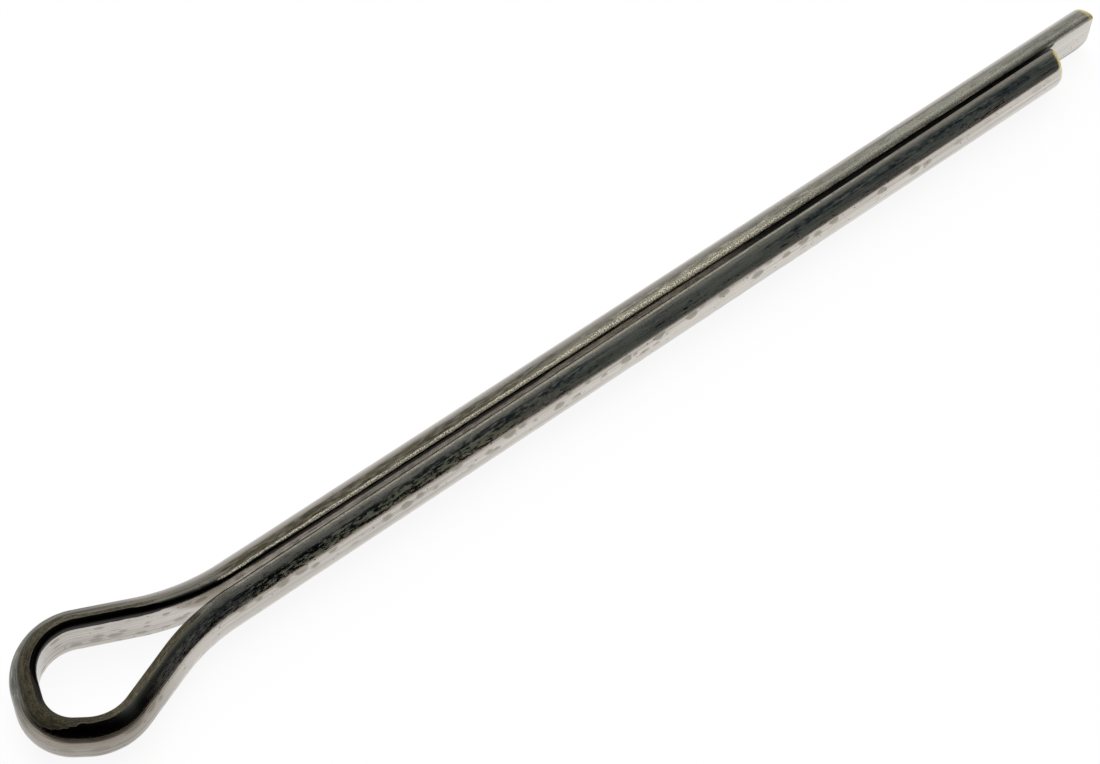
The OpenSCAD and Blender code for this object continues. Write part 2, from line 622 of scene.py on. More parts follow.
class WireBench(NodeBench):
    """Lays patterns by the wire's own map, as numbers from 0 to 1."""

    def __init__(self, tree: NodeTree) -> None:
        """Starts on a tree, and lays the noises that the steel's patterns are made of.

        Args:
            tree: The steel's node tree.
        """
        super().__init__(tree)
        # Lines and bands run along the wire, clouds and patches are broad, and flecks,
        # smears, streaks and grain break up the edges of the wear and of the painted shade.
        self.place = self.node("ShaderNodeUVMap", uv_map=WIRE_MAP).outputs["UV"]
        self.lines = self._noise((40, 5600), detail=5.0, roughness=0.75)
        self.bands = self._noise((22, 1900), detail=3.0, offset=3.1)
        self.clouds = self._noise((160, 420), detail=3.0, offset=7.7)
        self.patches = self._noise((190, 1500), detail=4.0, roughness=0.6, offset=1.3)
        self.flecks = self._noise((1700, 6200), detail=4.0, roughness=0.7, offset=2.9)
        self.grain = self._noise((9500, 11500), detail=2.0, offset=5.5)
        self.smear = self._noise((900, 5200), detail=3.0, offset=9.2)
        self.streaks = self._noise((330, 7600), detail=4.0, roughness=0.65, offset=4.4)
        self.mottle = self.total(
            self.product(self.patches, 0.26),
            self.product(self.flecks, 0.44),
            self.product(self.streaks, 0.30),
        )
        self.pits = self._pits()

    def zone(self, zone: Zone) -> NodeSocket:
        """Returns the strength of one zone."""
        return self.node("ShaderNodeAttribute", attribute_name=zone.value).outputs["Fac"]

    def smeared(
        self, zone: Zone, reach: tuple[float, float], edge: tuple[float, float]
    ) -> NodeSocket:
        """Returns how much shows of a zone whose edge is smeared over a reach."""
        return self.rise(self.total(self.zone(zone), self.spread(self.smear, *reach)), *edge)

    def _noise(
        self,
        per_metre: tuple[float, float],
        detail: float,
        roughness: float = 0.5,
        offset: float = 0.0,
    ) -> NodeSocket:
        """Lays noise along the wire.

        Args:
            per_metre: How many times the noise repeats along and around the wire.
            detail: How many finer layers it has.
            roughness: How strong the finer layers are.
            offset: Shift that sets this noise apart from the others.

        Returns:
            The noise, from 0 to 1.
        """
        laid = self._laid(per_metre, (offset, offset, offset))
        made = self.node(
            "ShaderNodeTexNoise",
            {"Vector": laid, "Scale": 1.0, "Detail": detail, "Roughness": roughness},
            noise_dimensions="2D",
        )
        return made.outputs["Fac"]

    def _laid(self, per_metre: tuple[float, float], shift: tuple) -> NodeSocket:
        """Scales and shifts the wire's map for a pattern.

        Args:
            per_metre: How often the pattern repeats along the wire and around it.
            shift: How far the map is moved.

        Returns:
            The map that the pattern reads.
        """
        made = self.node(
            "ShaderNodeMapping",
            {"Vector": self.place, "Location": shift, "Scale": (*per_metre, 1.0)},
        )
        return made.outputs["Vector"]

    def _cells(
        self, per_metre: tuple[float, float], shift: tuple, randomness: float
    ) -> tuple[NodeSocket, bpy.types.NodeOutputs]:
        """Lays scattered cells along the wire.

        Args:
            per_metre: How many cells there are along and around the wire.
            shift: Shift of the pattern.
            randomness: How far the cells stray from even rows.

        Returns:
            The distance from each cell's middle, and random numbers for each cell.
        """
        cells = self.node(
            "ShaderNodeTexVoronoi",
            {"Vector": self._laid(per_metre, shift), "Scale": 1.0, "Randomness": randomness},
            voronoi_dimensions="2D",
        ).outputs
        chance = self.node("ShaderNodeSeparateColor", {"Color": cells["Color"]})
        return cells["Distance"], chance.outputs

    def spots(self) -> NodeSocket:
        """Makes sparse oval spots with uneven edges.

        Returns:
            How strongly each spot shows.
        """
        away, chance = self._cells((740.0, 1350.0), (3.4, 0.5, 0.0), 0.75)
        gap = self.math("SUBTRACT", self.spread(chance[0], 0.06, 0.43), away)
        edge = self.total(gap, self.spread(self.flecks, -0.15, 0.11))
        return self.product(self.rise(edge, -0.06, 0.13), self.spread(self.flecks, 0.65, 1.3))

    def _pits(self) -> NodeSocket:
        """Makes small, sparse pits.

        Returns:
            How deep each pit is, from 0 to 1.
        """
        away, chance = self._cells((2300.0, 4200.0), (0.0, 0.0, 0.0), 1.0)
        size = self.product(self.rise(chance[1], 0.86, 1.0), 0.2)
        return self.rise(self.math("SUBTRACT", size, away), 0.0, 0.08)


@dataclass(frozen=True)
class DrawnSteel:
    """Bright drawn steel wire with die lines, wear, painted shade and a painted highlight, by zone.

    Attributes:
        clean: Colour of the bright metal.
        worn: Colour of the grey-green flecks.
        shadow: Colour of the painted shade: dark patches between the flecks, standing for the dark
            surroundings that the steel mirrors.
        matt: Colour of the rubbed corners' light grains.
        matt_shade: Colour between those grains.
        sand: Colour of the sandy edge's light grains, which are partly a painted highlight: the
            glints of a rough corner.
        sand_shade: Colour between the grains.
        stain: Colour of the grey spots.
        dull: Colour of the tarnish, and of the painted shade low on the short leg's round side.
        dull_shade: Colour of the tarnish along its die lines.
        film: Colour of the olive layer's lighter streaks. The layer is partly painted shade: it
            darkens the eye's tops and the long leg's corner, standing for the dark surroundings
            that they mirror.
        film_shade: Colour of the olive layer between those streaks.
        haze: Colour of the green-grey haze on the legs' tops.
        haze_shade: Colour of its dark streaks and clouds.
        pit: Colour inside the pits.
        grime: Colour of the painted black shade in the slit, along the inner corners by the eye,
            and in a thin line along the long leg.
        cut: Colour of the rims at the cut ends.
        roughness: Roughness of the bright metal.
        relief: Length in metres that stands for 1 in the fine relief's height.
    """

    clean: tuple = (0.662, 0.624, 0.572)
    worn: tuple = (0.41, 0.42, 0.29)
    shadow: tuple = (0.030, 0.047, 0.058)
    matt: tuple = (0.49, 0.475, 0.40)
    matt_shade: tuple = (0.265, 0.258, 0.215)
    sand: tuple = (0.97, 0.91, 0.69)
    sand_shade: tuple = (0.27, 0.255, 0.19)
    stain: tuple = (0.335, 0.322, 0.272)
    dull: tuple = (0.30, 0.268, 0.23)
    dull_shade: tuple = (0.11, 0.10, 0.08)
    film: tuple = (0.120, 0.104, 0.064)
    film_shade: tuple = (0.040, 0.035, 0.022)
    haze: tuple = (0.112, 0.132, 0.106)
    haze_shade: tuple = (0.036, 0.049, 0.045)
    pit: tuple = (0.05, 0.045, 0.04)
    grime: tuple = (0.02, 0.018, 0.016)
    cut: tuple = (0.82, 0.72, 0.30)
    roughness: float = 0.115
    relief: float = 1e-6

    def material(self) -> Material:
        """Builds the node material.

        Returns:
            The steel's material, which reads the wire's own map and its zones.
        """
        made = bpy.data.materials.new("drawn_steel")
        made.use_nodes = True
        bench = WireBench(made.node_tree)
        shown = self._shown(bench)
        relief = bench.node(
            "ShaderNodeBump",
            {"Strength": 1.0, "Distance": self.relief, "Height": self._height(bench, shown)},
        )
        steel = bench.node(
            "ShaderNodeBsdfPrincipled",
            {
                "Base Color": self._colour(bench, shown),
                "Roughness": bench.total(
                    self.roughness,
                    bench.product(bench.rise(bench.lines, 0.45, 0.8), LINE_ROUGHNESS),
                    *self._weighed(bench, shown, ZONE_ROUGHNESS),
                ),
                "Metallic": bench.rest(bench.most(*self._weighed(bench, shown, ZONE_COVER))),
                "Normal": relief.outputs["Normal"],
            },
        )
        bench.node("ShaderNodeOutputMaterial", {"Surface": steel.outputs["BSDF"]})
        return made

    def _shade(self, share: float) -> tuple:
        """Returns the bright metal's colour, darkened to a share of itself."""
        return tuple(part * share for part in self.clean)

    @staticmethod
    def _weighed(
        bench: WireBench, shown: dict[Zone, NodeSocket], weights: dict[Zone, float]
    ) -> list[NodeSocket]:
        """Returns each listed zone's share, multiplied by its weight."""
        return [bench.product(shown[zone], weight) for zone, weight in weights.items()]

    @staticmethod
    def _shown(bench: WireBench) -> dict[Zone, NodeSocket]:
        """Breaks up each zone's wear, painted shade and painted highlight by a pattern.

        Args:
            bench: The steel's bench.

        Returns:
            How much of each zone shows.
        """
        mottle = bench.mottle
        # Edge of the painted black shade, broken up by the mottle
        black_shade_edge = bench.total(bench.zone(Zone.BLACK_SHADE), bench.spread(mottle, -0.9, 0.9))
        return {
            Zone.WORN: bench.product(bench.zone(Zone.WORN), bench.rise(mottle, 0.475, 0.545)),
            # Painted shade, broken into patches
            Zone.SHADE: bench.product(bench.zone(Zone.SHADE), bench.fall(mottle, 0.48, 0.58)),
            # Sandy grains, partly a painted highlight
            Zone.SAND_HIGHLIGHT: bench.smeared(Zone.SAND_HIGHLIGHT, (-0.55, 0.45), (0.25, 0.75)),
            Zone.MATT: bench.smeared(Zone.MATT, (-0.50, 0.40), (0.20, 0.80)),
            Zone.STAIN: bench.product(bench.zone(Zone.STAIN), bench.spots()),
            Zone.DULL: bench.product(bench.zone(Zone.DULL), bench.spread(bench.clouds, 0.7, 1.25)),
            # Olive layer, partly painted shade
            Zone.FILM_AND_SHADE: bench.smeared(Zone.FILM_AND_SHADE, (-0.50, 0.42), (0.22, 0.72)),
            Zone.HAZE: bench.product(bench.zone(Zone.HAZE), bench.rise(mottle, 0.41, 0.49)),
            # Painted black shade
            Zone.BLACK_SHADE: bench.product(
                bench.rise(black_shade_edge, 0.3, 0.7), bench.rise(bench.zone(Zone.BLACK_SHADE), 0.0, 0.2)
            ),
            Zone.CUT: bench.zone(Zone.CUT),
        }

    def _colour(self, bench: WireBench, shown: dict[Zone, NodeSocket]) -> NodeSocket:
        """Lays the colours of the wear, the painted shade and the painted highlight over the bright
        metal.

        Args:
            bench: The bench of the steel's tree.
            shown: How much of each zone's wear shows.

        Returns:
            The colour output.
        """
        grains = bench.rise(bench.grain, 0.41, 0.58)
        tarnish = bench.blend(bench.rise(bench.lines, 0.42, 0.64), self.dull, self.dull_shade)
        oily = bench.total(bench.product(bench.grain, 0.35), bench.mottle)
        film = bench.blend(bench.rise(oily, 0.60, 0.79), self.film_shade, self.film)
        cloudy = bench.total(bench.product(bench.streaks, 1.5), bench.product(bench.clouds, 0.5))
        haze = bench.blend(bench.rise(cloudy, 1.03, 0.90), self.haze, self.haze_shade)
        # From the metal up: each layer covers the ones before it
        laid = (
            (bench.rise(bench.bands, 0.30, 0.75), self._shade(0.84)),
            (bench.rise(bench.lines, 0.48, 0.70), self._shade(0.60)),
            (bench.product(bench.rise(bench.clouds, 0.45, 0.75), 0.35), self._shade(0.7)),
            (bench.product(bench.rise(bench.grain, 0.5, 0.7), 0.3), self._shade(0.6)),
            (bench.product(shown[Zone.STAIN], 0.92), self.stain),
            (bench.product(shown[Zone.WORN], 0.9), self.worn),
            # Tarnish, and painted shade low on the short leg's round side
            (shown[Zone.DULL], tarnish),
            # Olive layer, partly painted shade
            (shown[Zone.FILM_AND_SHADE], film),
            (bench.product(shown[Zone.HAZE], 0.9), haze),
            # Painted shade
            (bench.product(shown[Zone.SHADE], 0.9), self.shadow),
            (shown[Zone.MATT], bench.blend(grains, self.matt_shade, self.matt)),
            # Sandy grains, partly a painted highlight
            (shown[Zone.SAND_HIGHLIGHT], bench.blend(grains, self.sand_shade, self.sand)),
            (bench.product(bench.pits, 0.8), self.pit),
            # Painted black shade
            (shown[Zone.BLACK_SHADE], self.grime),
            (shown[Zone.CUT], self.cut),
        )
        return bench.layers(self.clean, laid)

    @staticmethod
    def _height(bench: WireBench, shown: dict[Zone, NodeSocket]) -> NodeSocket:
        """Adds up the fine relief: die lines, grains and pits.

        Args:
            bench: The steel's bench.
            shown: How much of each zone's wear shows.

        Returns:
            The height in micrometres.
        """
        return bench.total(
            bench.product(bench.lines, 2.2),
            bench.product(bench.bands, 5.0),
            bench.product(bench.mottle, bench.zone(Zone.WORN), 16.0),
            bench.product(bench.grain, shown[Zone.SAND_HIGHLIGHT], 16.0),
            bench.product(bench.grain, shown[Zone.MATT], 2.5),
            bench.product(bench.pits, -4.0),
            bench.product(bench.grain, 0.6),
        )


@dataclass
class SteelPin:
    """The whole pin, laid as one skin over the wire's route.

    Attributes:
        sizes: The pin's driving sizes.
        straight_step: Spacing of the sections along straight wire.
        bend_step: Spacing of the sections around a bend, at its outside.
        edge_steps: Sections over a cut end.
        tip_len: Length over which a cut end narrows.
        tip_squeeze: How much a cut end narrows above and below, as a share of its height.
        tip_lift: How far a cut end's sections rise, as a share of their inset.
        least_steps: Fewest sections around a bend.
        weld: Distance within which vertices are joined.
        wave: Depth of the waves in the drawn surface.
        waves: Slow and quick waves, each with how often it repeats per millimetre along
            and around the wire, its own layer of the noise, and its share of the depth.
        skin: Depth that the whole skin lies inside the full wire.
        dents: How many small dents the wire has.
        dent_length: Least and greatest half length of a dent.
        dent_width: Least and greatest half width of a dent.
        dent_depth: Least and greatest depth of a dent.
        dent_edge: How steeply a dent's depth falls off.
        dent_seed: Seed of the dents' random draws.
    """

    sizes: PinSizes = field(default_factory=PinSizes)
    straight_step: float = 0.125
    bend_step: float = 0.14
    edge_steps: int = 14
    tip_len: float = 1.2
    tip_squeeze: tuple[float, float] = (0.07, 0.44)
    tip_lift: float = 0.35
    least_steps: int = 6
    weld: float = 1e-5
    wave: float = 0.009
    waves: tuple = ((0.35, 0.55, 0.0, 0.35), (1.1, 1.3, 4.0, 0.15))
    skin: float = 0.008
    dents: int = 90
    dent_length: tuple[float, float] = (0.25, 0.7)
    dent_width: tuple[float, float] = (0.15, 0.35)
    dent_depth: tuple[float, float] = (0.004, 0.014)
    dent_edge: float = 2.0
    dent_seed: int = 11

    def __post_init__(self) -> None:
        """Prepares the section and the route from the sizes."""
        size = self.sizes
        self.section = WireSection(
            radius=size.shank_d / 2,
            flat_setback=(size.neck_gap + size.tip_gap) / 4,
            corner_r=size.corner_r,
        )
        self.route = WireRoute(size)

    def build(self, finish: DrawnSteel) -> Object:
        """Lays the wire, presses its relief and dresses it.

        Args:
            finish: The steel's finish.

        Returns:
            The finished piece.
        """
        bm = bmesh.new()
        for name in (*PLACES, *(zone.value for zone in Zone)):
            bm.verts.layers.float.new(name)
        self._lay(bm)
        bmesh.ops.remove_doubles(bm, verts=bm.verts, dist=self.weld)
        bmesh.ops.recalc_face_normals(bm, faces=bm.faces)
        self._mark_zones(bm)
        self._press_relief(bm)
        self._lay_map(bm)
        for face in bm.faces:
            face.smooth = True
        bmesh.ops.scale(bm, vec=(MM, MM, MM), verts=bm.verts)
        return add_mesh("steel_pin", bm, finish.material())

    def _lay(self, bm: BMesh) -> None:
        """Lays the skin from the long leg's tip to the short leg's.

        Args:
            bm: The skin's mesh.
        """
        route, size = self.route, self.sizes
        self._along = 0.0
        self._stretches: list[tuple[list, int]] = []
        start = Matrix.Translation((*route.start, 0.0))
        self._head = start @ Matrix.Rotation(route.heading, 4, "Z")
        edges = self._lay_tip(bm, size.long_tip_round, opening=True)
        edges = self._lay_straight(bm, edges, route.long_straight - self.tip_len)
        for bend, turn, run in zip(route.bends, route.turns, [*route.runs, 0.0]):
            edges = self._lay_bend(bm, edges, bend, turn)
            if run:
                edges = self._lay_straight(bm, edges, run)
        edges = self._lay_straight(bm, edges, route.short_straight - self.tip_len)
        self._lay_tip(bm, size.short_tip_round, opening=False, edges=edges)
        for rails, cuts in self._stretches:
            bmesh.ops.subdivide_edges(bm, edges=rails, cuts=cuts, use_grid_fill=True)

    def _lay_tip(
        self,
        bm: BMesh,
        edge_r: float,
        opening: bool,
        edges: Sequence[BMEdge] = (),
    ) -> list:
        """Lays a cut end: the flat cut and the rounded edge around it.

        Args:
            bm: The pin's mesh.
            edge_r: Radius of the rounded edge.
            opening: Whether the wire starts here, and doesn't end here.
            edges: The section that an ending tip closes.

        Returns:
            The edges of the last section laid.
        """
        last = list(edges)
        shares = [step / self.edge_steps for step in range(self.edge_steps + 1)]
        for share in reversed(shares) if opening else shares[1:]:
            reach = self.tip_len * math.sin(share * math.pi / 2)
            worn = max(reach - self.tip_len + edge_r, 0.0) / edge_r
            inset = edge_r * (1 - math.sqrt(max(1 - worn**2, 0.0)))
            ahead = self.tip_len - reach if opening else reach
            place = self._head @ Matrix.Translation((ahead, 0, 0))
            before = len(bm.verts)
            ring = self.section.spin_outline(bm, inset, place)
            self._note_along(bm, before, 1, ahead)
            verts = list(dict.fromkeys(vert for edge in ring for vert in edge.verts))
            bmesh.ops.translate(bm, vec=(0, 0, self.tip_lift * inset), verts=verts)
            squeeze = 1 - math.cos(share * math.pi / 2)
            for side, depth in zip((1, -1), self.tip_squeeze):
                half = [vert for vert in verts if vert.co.z * side > 0]
                bmesh.ops.scale(bm, vec=(1, 1, 1 - depth * squeeze), verts=half)
            if last:
                bmesh.ops.bridge_loops(bm, edges=[*last, *ring])
            else:
                bmesh.ops.contextual_create(bm, geom=ring)
            last = ring
        if not opening:
            bmesh.ops.contextual_create(bm, geom=last)
        self._advance(Matrix.Translation((self.tip_len, 0, 0)), self.tip_len)
        return last

    def _lay_straight(self, bm: BMesh, edges: list, length: float) -> list:
        """Draws the section straight on.

        Args:
            bm: The skin's mesh.
            edges: The section's edges to start from.
            length: How far it is drawn.

        Returns:
            The edges of the last section.
        """
        before = len(bm.verts)
        made = bmesh.ops.extrude_edge_only(bm, edges=edges)["geom"]
        verts = [x for x in made if isinstance(x, BMVert)]
        forward = self._head.to_3x3() @ Vector((length, 0, 0))
        bmesh.ops.translate(bm, vec=forward, verts=verts)
        self._note_along(bm, before, 1, length)
        self._advance(Matrix.Translation((length, 0, 0)), length)
        ends = set(verts)
        rails = [e for v in verts for e in v.link_edges if e.other_vert(v) not in ends]
        self._stretches.append((rails, max(1, round(length / self.straight_step) - 1)))
        return [x for x in made if isinstance(x, BMEdge) and set(x.verts) <= ends]

    def _lay_bend(self, bm: BMesh, edges: list, bend: Bend, turn: float) -> list:
        """Spins the section around a bend.

        Args:
            bm: The skin's mesh.
            edges: The section's edges to start from.
            bend: The bend.
            turn: The angle that it turns by, in radians.

        Returns:
            The edges of the last section.
        """
        outside = bend.radius + (self.section.radius if bend.side is Side.LEFT else 0.0)
        steps = max(self.least_steps, round(outside * abs(turn) / self.bend_step))
        before = len(bm.verts)
        made = bmesh.ops.spin(
            bm, geom=edges, cent=(*bend.centre, 0.0), axis=(0, 0, 1), angle=turn, steps=steps
        )
        length = bend.radius * abs(turn)
        self._note_along(bm, before, steps, length)
        aside = Matrix.Translation((0, bend.side.value * bend.radius, 0))
        self._advance(aside @ Matrix.Rotation(turn, 4, "Z") @ aside.inverted(), length)
        return [x for x in made["geom_last"] if isinstance(x, BMEdge)]

    def _advance(self, move: Matrix, length: float) -> None:
        """Moves the wire's head on by a length."""
        self._head = self._head @ move
        self._along += length

    def _note_along(self, bm: BMesh, before: int, steps: int, length: float) -> None:
        """Writes how far along the wire each newly made vertex lies.

        Args:
            bm: The skin's mesh.
            before: How many vertices there were before.
            steps: How many sections were made.
            length: The length of wire that they cover.
        """
        layer = bm.verts.layers.float["along"]
        bm.verts.ensure_lookup_table()
        made = bm.verts[before:]
        ring = len(made) // steps
        for index, vert in enumerate(made):
            vert[layer] = self._along + length * (index // ring + 1) / steps

    @staticmethod
    def _places(bm: BMesh) -> list[tuple[BMVert, float, float]]:
        """Returns each vertex with its places along and around the wire."""
        along, around = (bm.verts.layers.float[name] for name in PLACES)
        return [(vert, vert[along], vert[around]) for vert in bm.verts]

    def _fold(self, around: float) -> float:
        """Returns a place around the section, counted from the middle of the flat both ways."""
        return min(around, self.section.perimeter - around)

    def _mark_zones(self, bm: BMesh) -> None:
        """Writes how strongly each kind of wear, painted shade and painted highlight shows at each
        vertex.

        Args:
            bm: The skin's mesh.
        """
        layers = {zone: bm.verts.layers.float[zone.value] for zone in Zone}
        for vert, along, around in self._places(bm):
            spot = Spot(vert.co.x, vert.co.z, along, self._fold(around))
            wear_leg = self._wear_long if along < self._along / 2 else self._wear_short
            for wear in (wear_leg, self._wear_eye, self._wear_all):
                for zone, strength in wear(spot).items():
                    vert[layers[zone]] = max(vert[layers[zone]], strength)

    @staticmethod
    def _corner_shade_top(x: float) -> float:
        """Returns how far up the long leg's corner the painted black shade by the slit reaches."""
        return 1.50 + 0.22 * fall(x, 2.0, 14.0) + 0.36 * fall(x, -7.0, -1.0)

    def _wear_long(self, spot: Spot) -> dict[Zone, float]:
        """Wears the long leg: sandy grains that are partly a painted highlight, matt grains, an
        olive layer that is partly painted shade, a thin line of painted black shade, and tarnish.

        Args:
            spot: The place on the skin.

        Returns:
            The strength of each kind of wear at that place.
        """
        x, fold = spot.x, spot.fold
        shank = rise(x, *SHANK)
        end = rise(x, *LONG_END)
        matt_low = 1.62 - 0.07 * rise(x, 20.0, 45.0) - 0.13 * rise(x, 62.0, 67.5)
        matt = band(fold, matt_low, 2.12, 0.06) * rise(x, 15.0, 38.0)
        wide_matt = band(fold, 1.7, 2.62, 0.06) * rise(x, 18.0, 34.0)
        wide_matt *= 0.5 + 0.16 * rise(x, 44.0, 56.0)
        sand_low = max(1.64, self._corner_shade_top(x) + 0.03)
        sand_top = 1.90 + 0.07 * rise(x, 15.0, 35.0)
        # The sandy corner's bright grains are partly a painted highlight
        sand = band(fold, sand_low, sand_top, 0.08) * shank * fall(x, 34.0, 60.0)
        low_sand = 0.8 * band(fold, 1.57, 1.72, 0.04) * rise(x, 28.0, 40.0) * fall(x, 60.0, 65.0)
        wide_sand = 0.36 * band(fold, sand_low, 2.35, 0.10) * band(x, 24.0, 50.0, 6.0)
        olive = 0.72 - 0.24 * rise(x, 14.0, 34.0) - 0.30 * rise(x, 44.0, 62.0)
        tarnish = (0.54 - 0.12 * rise(x, 5.0, 35.0)) * rise(fold, *OUTSIDE)
        tarnish *= 1.0 - 0.45 * shank * rise(fold, 2.64, 2.78)
        flecked = 0.3 * band(fold, 1.98, 2.6, 0.12) * fall(x, 56.0, 65.0)
        return {
            Zone.SAND_HIGHLIGHT: max(sand, low_sand, wide_sand),
            Zone.MATT: max(matt, wide_matt) * (1.0 - 0.3 * end),
            # Olive layer, partly painted shade
            Zone.FILM_AND_SHADE: olive * band(fold, 1.92, 2.62, 0.05) * shank,
            # Painted black shade: a thin dark line along the round side
            Zone.BLACK_SHADE: 0.65 * band(fold, 2.62, 2.71, 0.03) * shank,
            Zone.WORN: flecked * shank,
            Zone.DULL: tarnish * rise(x, -12.0, -6.0) * (1.0 - 0.5 * end),
            Zone.HAZE: 0.7 * band(fold, 1.50, 2.75, 0.10) * end,
        }

    @staticmethod
    def _wear_short(spot: Spot) -> dict[Zone, float]:
        """Wears the short leg: flecks, painted shade in dark patches and low on its round side, a
        rubbed corner and haze.

        Args:
            spot: The place on the skin.

        Returns:
            The strength of each kind of wear at that place.
        """
        x, fold = spot.x, spot.fold
        shank = rise(x, *SHANK)
        arm = band(spot.along, 95.0, 103.5, 1.5)
        flecked = 1.0 - 0.6 * rise(x, 18.0, 28.0) - 0.4 * rise(x, 40.0, 60.0)
        # Painted shade low on the round side, where the leg mirrors the shaded floor beneath the
        # pin
        under_shade = band(fold, 3.55, 4.10, 0.12) * rise(-spot.z, 0.35, 0.70)
        lift = rise(x, 8.0, 18.0)
        dark = 1.0 - 0.9 * band(x, 28.0, 43.0, 3.0) - 0.6 * rise(x, 64.0, 68.0)
        # Painted shade: dark patches on the leg's top, standing for the dark surroundings that it
        # mirrors
        shade = band(fold, 2.46 - 0.20 * lift, 2.84 - 0.08 * lift, 0.11)
        shade *= rise(x, -10.0, -4.0) * dark
        corner = 0.74 + 0.26 * band(x, 10.0, 36.0, 5.0)
        hazes = (
            0.95 * band(fold, 2.20, 3.27, 0.07) * rise(x, 17.0, 27.0),
            0.5 * band(fold, 2.05, 2.50, 0.10) * shank,
            0.5 * band(fold, 2.60, 3.15, 0.10) * arm,
        )
        return {
            Zone.WORN: band(fold, 2.52, 3.27, 0.09) * shank * flecked,
            # Painted shade low on the round side
            Zone.DULL: 0.55 * under_shade * shank,
            Zone.SHADE: max(shade, 0.85 * band(fold, 2.90, 3.30, 0.12) * arm),
            Zone.MATT: corner * band(fold, 1.82, 1.98, 0.05) * shank * fall(x, 45.0, 66.0),
            Zone.HAZE: max(hazes),
        }

    def _wear_eye(self, spot: Spot) -> dict[Zone, float]:
        """Wears the eye: painted black shade along its inner corners, an olive layer inside that is
        partly painted shade, bright sandy grains on its crest that are partly a painted highlight,
        and tarnish outside.

        Args:
            spot: The place on the skin.

        Returns:
            The strength of each kind of wear at that place.
        """
        x, along, fold = spot.x, spot.along, spot.fold
        arm = fall(x, -7.0, 0.0)
        # Painted shade: the black along the inner corners stands for the dark surroundings that
        # they mirror, and is stronger on the upper half
        upper = 0.35 + 0.65 * rise(spot.z, -0.5, 0.5)
        corner_shade_fade = 1.0 - 0.5 * rise(along, 85.4, 88.0) - 0.5 * rise(along, 90.5, 92.5)
        corner_shade_low = 1.47 - (0.26 - 0.10 * rise(along, 82.0, 86.0)) * arm
        corner_shade_low -= 0.27 * band(x, 0.0, 26.0, 3.0)
        corner_shade = band(fold, corner_shade_low, self._corner_shade_top(x), 0.05) * fall(x, 22.0, 34.0)
        # Olive layer inside the eye, partly painted shade that darkens its tops
        film_low = 2.10 - 0.56 * rise(along, 84.8, 87.6)
        film_top = 2.42 + 0.60 * rise(along, 80.5, 84.0) - 0.80 * rise(along, 87.8, 90.2)
        film = band(fold, film_low, film_top, 0.06) * band(along, 75.5, 101.0, 1.5)
        film *= 1.0 - 0.2 * rise(along, 93.0, 97.0)
        rim = 0.8 * band(fold, 3.18, 3.30, 0.05) * band(along, 86.5, 97.0, 1.5)
        # The crest gets bright sandy grains, partly a painted highlight
        crest = band(fold, film_top - 0.10, film_top, 0.04)
        crest *= max(band(along, 75.5, 81.5, 1.5), band(along, 89.6, 97.0, 1.2))
        far_side = 0.9 * fall(x, -9.0, 0.0)
        near_side = 0.85 * fall(x, -11.0, -4.0)
        outer = rise(fold, *OUTSIDE) * (
            far_side + (near_side - far_side) * rise(along, 82.0, 90.0)
        )
        inner = fall(fold, 1.3, 1.5) * arm * (0.22 + 0.16 * rise(along, 79.0, 83.0))
        return {
            Zone.BLACK_SHADE: 0.95 * corner_shade * upper * corner_shade_fade,
            Zone.FILM_AND_SHADE: max(film, rim),
            Zone.SAND_HIGHLIGHT: 0.55 * crest,
            Zone.HAZE: 0.9 * band(fold, 2.95, 4.2, 0.15) * band(along, 79.0, 87.0, 1.5),
            Zone.DULL: max(outer, inner),
        }

    def _wear_all(self, spot: Spot) -> dict[Zone, float]:
        """Wears the whole wire: spots, painted black shade on the flats in the slit, and the cut
        rims.

        Args:
            spot: The place on the skin.

        Returns:
            The strength of each kind of wear at that place.
        """
        x, z, along, fold = spot.x, spot.z, spot.along, spot.fold
        end = min(along, self._along - along)
        on_long = fall(along, 83.0, 88.0)
        flat = fall(fold, 1.1, 1.5) * fall(x, *LONG_END)
        rows = band(fold, 3.42, 4.12, 0.08) * (1.0 - 0.7 * rise(x, 54.0, 60.0))
        bent = 0.5 * fall(x, -9.0, 0.0) * rise(fold, 3.3, 3.7)
        hidden = 0.45 * on_long * (1.0 - flat) + 0.4 * rise(-z, 0.0, 0.8) * rise(x, *SHANK)
        # Painted shade on the flats in the slit, between the legs
        slit_end = 67.0 + 0.45 * on_long * rise(z, 1.1, 1.4)
        slit = fall(fold, 1.44, 1.56) * fall(x, slit_end, slit_end + 0.5)
        return {
            Zone.STAIN: max(flat, rows, bent) * max(1.0 - hidden, 0.3),
            Zone.BLACK_SHADE: slit * (0.34 * rise(x, -1.0, 6.0) + 0.61 * rise(x, 38.0, 48.0)),
            Zone.MATT: fall(end, 0.02, 0.12),
            Zone.CUT: band(end, 0.1, 0.4, 0.1) * rise(z, -0.9, 0.5) * rise(fold, 1.3, 1.6),
        }

